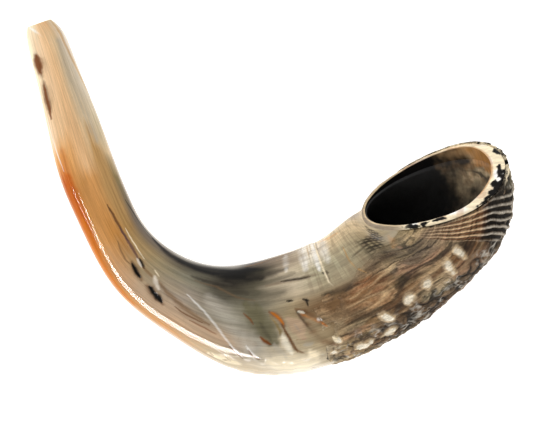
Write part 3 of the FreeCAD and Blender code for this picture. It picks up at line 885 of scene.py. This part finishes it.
def make_rim(outer, inner):
    """Rings of the thick, chipped rim of the mouth, from the skin to the hollow."""
    share = shares_between(0, 1, RIM_ROWS)
    end = Sections(MOUTH)
    flat = mix(outer.points[-1:], inner.points[:1], share[..., None])
    lip = 2.2 * smooth((62 - np.abs(ANGLES - 4)) / 40) * share ** 2
    flat = flat + lip[..., None] * unit(end.centre - inner.points[:1])
    crown = (1 - np.abs(2 * share - 1) ** 2.6) ** 0.5
    chipped = 0.5 * rough_noise(flat, 7, 71) + 0.25 * noise(flat, 2.5, 75)
    points = flat + end.forward * ((0.9 + 0.6 * chipped) * crown)[..., None]
    tint, black = rim_tint(points, share)
    return Surface(points, grid_normals(points), tint, 0.75 - 0.4 * black, points)


# ---------------------------------------------------------------------------------------------
# Materials.

def feed(node, **inputs):
    """Give a node's inputs, their spaces written as _, a constant or another node's output."""
    for name, value in inputs.items():
        socket = node.inputs[name.replace("_", " ")]
        if isinstance(value, bpy.types.NodeSocket):
            node.id_data.links.new(value, socket)
        else:
            socket.default_value = value


class Nodes:
    """Short ways to add and join the nodes of one material."""

    def __init__(self, name):
        self.material = bpy.data.materials.new(name)
        self.material.use_nodes = True
        self.tree = self.material.node_tree
        self.shader = self.tree.nodes["Principled BSDF"]

    def add(self, kind, **settings):
        node = self.tree.nodes.new(kind)
        for name, value in settings.items():
            setattr(node, name, value)
        return node

    def fields(self):
        """The colour, the fibres' coordinates and the polish that the mesh carries."""
        fields = (("tint", "Vector"), ("grain", "Vector"), ("polish", "Fac"))
        return [self.add("ShaderNodeAttribute", attribute_name=name).outputs[output]
                for name, output in fields]

    def noise(self, grain, stretch, detail, roughness=0.55):
        """Noise at the fibres' coordinates, each of them stretched."""
        place = self.add("ShaderNodeMapping")
        feed(place, Scale=stretch, Vector=grain)
        node = self.add("ShaderNodeTexNoise")
        feed(node, Scale=1.0, Detail=detail, Roughness=roughness, Vector=place.outputs["Vector"])
        return node.outputs["Fac"]

    def span(self, value, low, high, first, last):
        """value, stretched from low..high to first..last."""
        node = self.add("ShaderNodeMapRange")
        feed(node, Value=value, From_Min=low, From_Max=high, To_Min=first, To_Max=last)
        return node.outputs["Result"]

    def total(self, first, second):
        """The sum of two numbers."""
        node = self.add("ShaderNodeMath", operation="ADD")
        for value, socket in zip((first, second), node.inputs):
            self.tree.links.new(value, socket)
        return node.outputs["Value"]

    def shaded(self, colour, *shades):
        """A colour multiplied by each of the numbers."""
        for shade in shades:
            node = self.add("ShaderNodeVectorMath", operation="SCALE")
            feed(node, Vector=colour, Scale=shade)
            colour = node.outputs["Vector"]
        return colour

    def bump(self, height, strength, distance, base=None):
        """Bumps, on top of other bumps if a base is given."""
        node = self.add("ShaderNodeBump")
        feed(node, Strength=strength, Distance=distance, Height=height)
        if base is not None:
            feed(node, Normal=base)
        return node.outputs["Normal"]

    def finish(self, colour, roughness, normal, specular=0.5):
        feed(self.shader, Base_Color=colour, Roughness=roughness, Normal=normal,
             Specular_IOR_Level=specular)
        return self.material


HORN_SPECULAR = 0.07


def horn_material():
    """Polished horn: fine fibres along it, a few specks, and a gloss that the ends lose."""
    nodes = Nodes("polished_horn")
    tint, grain, polish = nodes.fields()
    fibres = nodes.noise(grain, (0.03, 0.75, 0.75), 4.0)
    fine = nodes.noise(grain, (0.12, 2.6, 2.6), 2.0)
    specks = nodes.noise(grain, (0.9, 1.4, 1.4), 3.0)
    colour = nodes.shaded(tint, nodes.span(fibres, 0.3, 0.7, 0.80, 1.16),
                          nodes.span(fine, 0.3, 0.7, 0.88, 1.10),
                          nodes.span(specks, 0.25, 0.42, 0.85, 1.0))
    rough = nodes.total(nodes.span(polish, 0.0, 1.0, 0.55, 0.09),
                        nodes.span(fine, 0.3, 0.7, -0.02, 0.05))
    bumps = nodes.bump(fibres, nodes.span(polish, 0.2, 1.0, 0.20, 0.01), 0.0006)
    bumps = nodes.bump(fine, nodes.span(polish, 0.2, 1.0, 0.30, 0.015), 0.0002, bumps)
    return nodes.finish(colour, rough, bumps, HORN_SPECULAR)


def crust_material():
    """The horn's rough outer skin: bark-like, dull, with pits."""
    nodes = Nodes("rough_horn_crust")
    tint, grain, polish = nodes.fields()
    fibres = nodes.noise(grain, (0.10, 1.1, 1.1), 5.0, 0.65)
    pits = nodes.noise(grain, (0.8, 1.3, 1.3), 5.0, 0.7)
    colour = nodes.shaded(tint, nodes.span(fibres, 0.32, 0.68, 0.64, 1.28),
                          nodes.span(pits, 0.32, 0.68, 0.66, 1.26))
    rough = nodes.total(nodes.span(polish, 0.0, 1.0, 0.72, 0.30),
                        nodes.span(pits, 0.3, 0.7, 0.10, -0.12))
    bumps = nodes.bump(fibres, 0.35, 0.0006, nodes.bump(pits, 0.45, 0.0007))
    return nodes.finish(colour, rough, bumps, HORN_SPECULAR)


def lining_material():
    """The inner skin of the bell: dry, mottled and fibrous."""
    nodes = Nodes("inner_skin")
    tint, grain, polish = nodes.fields()
    fibres = nodes.noise(grain, (0.16, 0.9, 0.9), 5.0, 0.6)
    mottle = nodes.noise(grain, (0.35, 0.35, 0.35), 4.0, 0.65)
    colour = nodes.shaded(tint, nodes.span(fibres, 0.3, 0.7, 0.65, 1.3),
                          nodes.span(mottle, 0.3, 0.7, 0.55, 1.4))
    rough = nodes.total(nodes.span(polish, 0.0, 1.0, 0.7, 0.35),
                        nodes.span(mottle, 0.3, 0.7, -0.05, 0.1))
    return nodes.finish(colour, rough, nodes.bump(fibres, 0.4, 0.0005))


# ---------------------------------------------------------------------------------------------
# The pieces.

def cone_end(i, outer, inner):
    """The rings that close a cone at its wide end: a face to the next cone, or the rim."""
    if i == len(RING_LINES):
        return make_rim(outer, inner)
    return cone_face(RING_LINES[i])


def cone_start(i, outer, inner):
    """The rings that close a cone at its narrow end: a face to the last cone, or the lip."""
    if i == 0:
        return make_lip(outer, inner)
    face = part_of(cone_face(RING_LINES[i - 1]), BACKWARDS)
    return face._replace(normals=-face.normals)


def make_cones(material):
    """The seven growth cones, each a closed solid that fits the next."""
    skin, breaks = make_skin()
    ends = [0] + [line - SPIGOT for line in RING_LINES] + [MOUTH]
    for i, (name, slot) in enumerate(zip(CONES, CONE_SLOTS)):
        outer = part_of(skin, slice(breaks[i], breaks[i + 1] + 1))
        inner = inside_rings(rows_between(ends[i], ends[i + 1], HOLLOW_STEP)[::-1])
        whole = joined([outer, cone_end(i, outer, inner), inner, cone_start(i, outer, inner)])
        faces = ring_faces(len(whole.points), COLUMNS)
        make_piece(name + "_skin", flattened(whole), faces, name, material)


# The pale knobs in a row along the crust: station, angle, length, width and height in millimetres,
# how far each is turned from the horn's length, and how dark the line round it is.
KNOBS = [
    (15.44, 63, 7.2, 5.4, 0.7, -72, 0.0),
    (14.80, 61, 8.6, 6.6, 0.9, -55, 0.2),
    (13.93, 59, 9.0, 6.2, 0.9, -25, 0.1),
    (13.18, 56, 8.6, 6.4, 0.8, -10, 0.1),
    (12.50, 52, 11.0, 5.4, 0.8, -55, 0.2),
    (12.29, 34, 13.5, 5.0, 0.8, -5, 0.7),
    (11.73, 36, 12.5, 7.0, 1.1, 0, 1.0),
    (11.28, 54, 7.0, 4.0, 0.5, -40, 0.2),
    (11.12, 41, 6.5, 4.6, 0.4, 0, 0.5),
]
# The lines of the ridges round the outside near the mouth: their spacing in stations, how many
# there are, where the first is, and how far they are shifted at angles from the outside.
RIDGE_SPACING = 0.20
RIDGE_COUNT = 7
FIRST_RIDGE = 15.84
RIDGE_SHIFT_ANGLES = [0, 12, 42, 57, 65, 88, 120]
RIDGE_SHIFTS = [-0.60, -0.48, 0.0, 0.14, 0.19, 0.32, 0.50]


def ridge_lines(station, turn, place):
    """The ridges' dark valleys and pale crests, and where they are boldest, each from 0 to 1."""
    shifted = station - np.interp(turn, RIDGE_SHIFT_ANGLES, RIDGE_SHIFTS)
    shifted = shifted + 0.035 * noise(place, 9, 107) + 0.02 * noise(place, 3.5, 108)
    wave = np.cos(2 * math.pi * (shifted - FIRST_RIDGE) / RIDGE_SPACING)
    last = FIRST_RIDGE + (RIDGE_COUNT - 1) * RIDGE_SPACING
    inside = smooth((shifted - FIRST_RIDGE + 0.12) / 0.1) * smooth((last + 0.12 - shifted) / 0.1)
    inside = inside * smooth((112 - turn) / 34) * smooth((16.99 - station) / 0.08)
    bold = smooth((60 - turn) / 14)
    valley = smooth((wave - mix(0.50, -0.45, bold)) / 0.35) * inside
    crest = smooth((-wave - 0.50) / 0.4) * inside
    return valley, crest, bold


# The crust's patches of colour: their size in millimetres and the seed of their noise.
CRUST_PATCHES = [("reed", 6, 141), ("rose", 5, 142), ("russet", 7, 143), ("soil", 5, 144),
                 ("sage", 9, 145)]
# How much of each colour the crust keeps: warm on its flank, and darker and greyer outside.
CRUST_WARMTH = np.array([1.0, 0.93, 0.83])
CRUST_OUTSIDE = np.array([0.74, 0.74, 0.72])


def add_bark(station, turn, place, grain, tint, height):
    """Bark with deep cracks and painted silver glints outside, and fibres with fine cracks on the
    flanks.
    """
    outside = smooth((58 + 5 * noise(place, 9, 90) - turn) / 16)
    flank = 1 - outside
    fibres = rough_noise(drawn(grain, 0.10), 2.2, 99, 4)
    drift = 0.6 * noise(place, 6, 98)[..., None]
    bark = rough_noise(place, 5, 91, 5)
    cracks = creases(place + 1.5 * noise(place, 5, 94)[..., None], 6, 95)
    lines = creases(drawn(grain, 0.11) + drift, 3.2, 97)
    pale_lines = creases(drawn(grain, 0.13) + drift, 3.6, 101, 2)
    height = height + outside * (0.6 * bark + 0.7 * cracks)
    height = height + flank * (0.20 * fibres + 0.25 * lines)
    height += 0.15 * rough_noise(place, 2.0, 103, 3)
    for name, size, seed in CRUST_PATCHES:
        patch = smooth(rough_noise(drawn(grain, 0.35), size, seed, 3) * 2.2 - 0.5)
        tint = paint(tint, name, 0.42 * patch)
    calm = smooth(13.6 - station) * smooth((turn - 62) / 8)
    tint = paint(tint, "russet", 0.50 * calm * flank, 1.9)
    tint = paint(tint, "parchment", -0.45 * pale_lines * flank)
    shade = 1 + mix(mix(0.50, 0.28, calm) * fibres, 0.60 * bark, outside)
    tint = tint * np.clip(shade, 0.3, 1.7)[..., None]
    grey = smooth((56 - turn) / 14) * smooth((station - 11.6) / 0.8)
    tint = tint * mix(CRUST_WARMTH, CRUST_OUTSIDE, grey[..., None])
    dark = np.maximum(outside * smooth(-cracks * 1.5 - 0.2),
                      flank * smooth(-lines * 1.5 - 0.25) * mix(0.9, 0.55, calm))
    clots = smooth(rough_noise(place, 5, 151, 4) * 1.6 - 0.75) * smooth((66 - turn) / 16)
    tint = paint(tint, "ink", np.maximum(0.85 * dark, 0.95 * clots))
    # Painted highlights: silver glints along crooked lines on the bark outside.
    glints = -creases(place + 0.8 * noise(place, 3, 156)[..., None], 3.4, 155, 2) * outside
    glints = glints * smooth(noise(place, 4, 158) * 2 + 0.3)
    return paint(tint, "silver", 0.75 * glints), height


def add_ridges(station, turn, place, tint, height):
    """The ridges round the outside near the mouth, and a rose line along the crust's flank."""
    valley, crest, bold = ridge_lines(station, turn, place)
    height += 0.35 * crest - 0.55 * valley * mix(0.5, 1, bold)
    brown = linear("brown") * 0.6
    for flank, outside, cover in (
            (linear("fawn"), linear("bark"), 0.7 * smooth((valley + crest) * 2)),
            (linear("peach"), linear("silver"), 0.7 * crest),
            (brown, linear("ink"), valley * mix(0.85, 0.97, bold))):
        tint = mix(tint, mix(flank, outside, bold[..., None]), cover[..., None])
    stained = smooth((station - 16.45) / 0.35) * smooth((46 - turn) / 12)
    stained = stained * smooth(rough_noise(place, 4, 157, 3) + 0.75)
    tint = paint(tint, "pitch", 0.85 * stained)
    rose_line = np.exp(-((turn - 60.5 + 2 * noise(place, 6, 161)) / 2.2) ** 2)
    rose_line = rose_line * smooth((station - 12.2) / 0.3) * smooth((15.3 - station) / 0.3)
    height += 0.35 * rose_line
    return paint(tint, "russet", 0.6 * rose_line), height


def both_sides(knobs):
    """Each knob, followed by its like on the far side of the horn."""
    for at, direction, length, width, rise, twist, outline in knobs:
        yield at, direction, length, width, rise, twist, outline
        yield at + 0.27, 7 - direction, length, width, rise, -twist, outline


def add_knobs(place, tint, height):
    """The pale knobs, each with a skirt and a dark line round it."""
    ragged = 0.35 * rough_noise(place, 3.4, 111, 3)
    for at, direction, length, width, rise, twist, outline in both_sides(KNOBS):
        centre = Sections(at).skin(direction)
        ahead = unit(Sections(at + 0.1).skin(direction) - centre)
        beside = unit(Sections(at).skin(direction + 6) - centre)
        offset = place - centre
        forward, sideways = offset @ ahead, offset @ beside
        spin = math.radians(twist)
        lengthwise = forward * math.cos(spin) + sideways * math.sin(spin)
        across = sideways * math.cos(spin) - forward * math.sin(spin)
        near = np.linalg.norm(offset, axis=-1) < 2 * length
        reach = np.hypot(lengthwise / (length / 2), across / (width / 2)) + ragged
        line = near * np.exp(-((reach - 1.05) / 0.16) ** 2) * max(outline, 0.45)
        height += rise * near * (1 - smooth((reach - 0.25) / 1.1)) - 0.4 * line
        tint = paint(tint, "wheat", 0.6 * near * (1 - smooth((reach - 0.75) / 0.5)))
        pale = near * (1 - smooth((reach - 0.40) / 0.35))
        knob = paint(linear("linen"), "bone", pale)
        tint = mix(tint, knob, (0.9 if at < 13 else 0.7) * pale[..., None])
        tint = paint(tint, "soil", 0.85 * line)
    return tint, height


def paint_edge(station, angle, place, tint):
    """The cream edge that the rim shows along the crust, with black stains on it."""
    edge = smooth((station - 16.78 + 0.10 * rough_noise(place, 5, 163)) / 0.12)
    edge = edge * smooth((26 - angle) / 12) * smooth((angle + 120) / 30)
    tint = paint(tint, "cream", edge)
    return paint(tint, "ink", smooth(rough_noise(place, 3.5, 165, 3) * 1.8 - 0.4) * edge)


def crust_relief(station, angle, place, grain, worn):
    """Colour and height of the crust. Where it is worn away, its colour is the bare horn's."""
    turn = np.abs(angle)
    bare, height = skin_tint(station, angle, place, grain)
    tint, height = add_bark(station, turn, place, grain, bare, height)
    tint, height = add_ridges(station, turn, place, tint, height)
    tint, height = add_knobs(place, tint, height)
    tint = paint_edge(station, angle, place, tint)
    return mix(bare, tint, worn[..., None]), height


def patch_faces(rows, columns, stride):
    """Faces that close a grid of points and a like grid under it, and the points that they use.

    The faces below are coarser, and meet the fine ones all along the edge.
    """
    index = np.arange(rows * columns).reshape(rows, columns)
    fine = np.stack([index[:-1, :-1], index[:-1, 1:], index[1:, 1:], index[1:, :-1]], -1)
    faces = list(fine.reshape(-1, 4))
    under = index + rows * columns
    row_marks = [*range(0, rows - 1, stride), rows - 1]
    column_marks = [*range(0, columns - 1, stride), columns - 1]
    for a, b in zip(row_marks[:-1], row_marks[1:]):
        for c, d in zip(column_marks[:-1], column_marks[1:]):
            low = under[a, c:d] if a == 0 else under[a, c:c + 1]
            right = under[a:b, d] if d == columns - 1 else under[a:a + 1, d]
            high = under[b, d:c:-1] if b == rows - 1 else under[b, d:d + 1]
            left = under[b:a:-1, c] if c == 0 else under[b:b + 1, c]
            faces.append(np.concatenate([low, right, high, left])[::-1])
    loop = np.concatenate([index[0, :-1], index[:-1, -1], index[-1, :0:-1], index[:0:-1, 0]])
    after = np.roll(loop, -1)
    faces += list(np.stack([loop, after, after, loop], 1) + np.array([1, 1, 0, 0]) * index.size)
    used = np.unique(np.concatenate(faces))
    renumber = np.zeros(2 * index.size, int)
    renumber[used] = np.arange(len(used))
    return [renumber[face[::-1]] for face in faces], used


def make_crust(material):
    """The rough skin left on the outside of the bell, its edges worn down to the horn."""
    first = CRUST_START - CRUST_LEAD
    rows = rows_between(first, CRUST_END, CRUST_STEP)
    sections = Sections(rows[:, None])
    reach = sections.wrap + CRUST_MARGIN
    angle = np.linspace(-1, 1, CRUST_COLUMNS) * reach
    station = np.broadcast_to(sections.station, angle.shape)
    place = sections.skin(angle)
    normals = grid_normals(place, closed=False)
    grain = grain_of(station, angle, 26)
    # Roughly how many millimetres it is to the sides of the crust, and to its start.
    to_side = (reach - np.abs(angle)) * sections.half_span * math.pi / 180
    to_start = (station - first) * 25 - 2 * smooth((12 - station) / 0.8)
    edge = np.minimum(to_side, to_start)
    ragged = mix(8.0, 2.6, smooth((station - 11.4) / 0.6)) * rough_noise(place, 9, 121, 4)
    worn = smooth((edge - 3.0 + 1.6 * ragged) / 10)
    tint, height = crust_relief(station, angle, place, grain, worn)
    rise = smooth((edge - 2.5 + ragged) / 4.0) * smooth(edge / 1.5)
    horn = sections.horn(angle)
    lift = (height + 0.1) * rise - 0.5 * (1 - rise)
    over = mix(horn, place, rise[..., None]) + normals * lift[..., None]
    over[..., 2] = np.maximum(over[..., 2], 0.02)
    under = horn - normals * mix(0.65, 0.02, rise)[..., None]
    under[..., 2] = np.maximum(under[..., 2], 0.01)
    pale = np.clip(tint.mean(-1) * 1.2 - 0.1, 0, 1)
    both = joined([Surface(over, grid_normals(over, closed=False), tint, pale, grain),
                   Surface(under, -normals, tint, pale, grain)])
    faces, used = patch_faces(*angle.shape, UNDER_STRIDE)
    make_piece("bell_crust_bark", part_of(flattened(both), used), faces,
               "bell_crust", material)


def make_lining(material):
    """The thin inner skin just inside the mouth."""
    first, last = LINING_ENDS
    rows = rows_between(first, last, LINING_STEP)
    outside = Sections(rows[:, None]).hollow(ANGLES, FIT_GAP)
    station, angle = np.broadcast_arrays(rows[:, None], ANGLES)
    grain = grain_of(station, angle)
    wrinkles = 0.25 * rough_noise(drawn(grain, 0.4), 8, 131)
    ends = smooth((station - first) / 0.2) * smooth((last - station) / 0.12)
    crack = mark_share(station, outside, 1.2, 0.6,
                       [(16.5, 40), (16.0, 36), (15.4, 30), (15.0, 26)])
    thickness = (LINING_THICKNESS + wrinkles) * mix(0.15, 1.0, ends) * (1 - 0.8 * crack)
    normals = grid_normals(outside)
    inside = outside - normals * thickness[..., None]
    # The inside's colour, near-black as painted shade away from the mouth, with a dark crack.
    tint = paint(inner_tint(station, angle, outside), "ink", 0.9 * crack)
    polish = np.full(angle.shape, 0.3)
    hidden = Surface(outside, normals, tint, polish, grain)
    seen = Surface(inside, -grid_normals(inside), tint, polish, grain)
    whole = joined([hidden, part_of(seen, BACKWARDS)])
    make_piece("bell_lining_skin", flattened(whole), ring_faces(len(whole.points), COLUMNS),
               "bell_lining", material)


# ---------------------------------------------------------------------------------------------
# Stage, lights and camera.

SIDE_SKY = 1.31
TOP_SKY = 0.10
FLOOR_GLOW = 0.6
FLOOR_REACH = 3.0


def make_floor():
    mesh = bpy.data.meshes.new("floor")
    corners = [(-1, -1), (1, -1), (1, 1), (-1, 1)]
    mesh.from_pydata([(x * FLOOR_REACH, y * FLOOR_REACH, 0) for x, y in corners],
                     [], [(0, 1, 2, 3)])
    floor = bpy.data.objects.new("floor", mesh)
    bpy.context.scene.collection.objects.link(floor)
    nodes = Nodes("studio_floor")
    feed(nodes.shader, Base_Color=(0.9, 0.9, 0.9, 1), Emission_Color=(1, 1, 1, 1),
         Emission_Strength=FLOOR_GLOW, Roughness=0.9, Specular_IOR_Level=0.1)
    mesh.materials.append(nodes.material)


def soft_light(name, place, aim, size, power):
    """A light at a place, turned to what it lights, that only glosses mirror."""
    light = bpy.data.lights.new(name, "AREA")
    light.shape = "RECTANGLE"
    light.size, light.size_y = size
    light.energy = power
    lamp = bpy.data.objects.new(name, light)
    lamp.location = place
    lamp.rotation_euler = (Vector(aim) - Vector(place)).to_track_quat("-Z", "Y").to_euler()
    lamp.visible_camera = False
    lamp.visible_diffuse = False
    bpy.context.scene.collection.objects.link(lamp)


def light_studio():
    """Bright all round and darker overhead, with one long strip low on the left."""
    world = bpy.data.worlds.new("studio")
    bpy.context.scene.world = world
    world.use_nodes = True
    nodes = world.node_tree.nodes
    place = nodes.new("ShaderNodeTexCoord")
    height = nodes.new("ShaderNodeSeparateXYZ")
    feed(height, Vector=place.outputs["Generated"])
    level = nodes.new("ShaderNodeMapRange")
    level.interpolation_type = "SMOOTHSTEP"
    feed(level, Value=height.outputs["Z"], From_Min=0.78, From_Max=0.95,
         To_Min=SIDE_SKY, To_Max=TOP_SKY)
    feed(nodes["Background"], Color=(1, 1, 1, 1), Strength=level.outputs["Result"])
    soft_light("left_strip", STRIP_PLACE, STRIP_AIM, STRIP_SIZE, STRIP_POWER)
    bpy.context.scene.view_settings.view_transform = "Standard"


# The camera looks straight down. This much of a plane through the middle of the bend is in view.
VIEW_WIDTH = 0.2665
VIEW_CENTRE = (-0.00125, -0.01325, 0.018)
LENS = 800.0
SENSOR = 36.0


def make_camera():
    camera = bpy.data.cameras.new("camera")
    camera.lens = LENS
    camera.sensor_width = SENSOR
    camera.clip_end = 100
    viewer = bpy.data.objects.new("camera", camera)
    distance = VIEW_WIDTH * LENS / SENSOR
    viewer.location = Vector(VIEW_CENTRE) + Vector((0, 0, distance))
    bpy.context.scene.collection.objects.link(viewer)
    bpy.context.scene.camera = viewer


make_cones(horn_material())
make_crust(crust_material())
make_lining(lining_material())
make_floor()
light_studio()
make_camera()
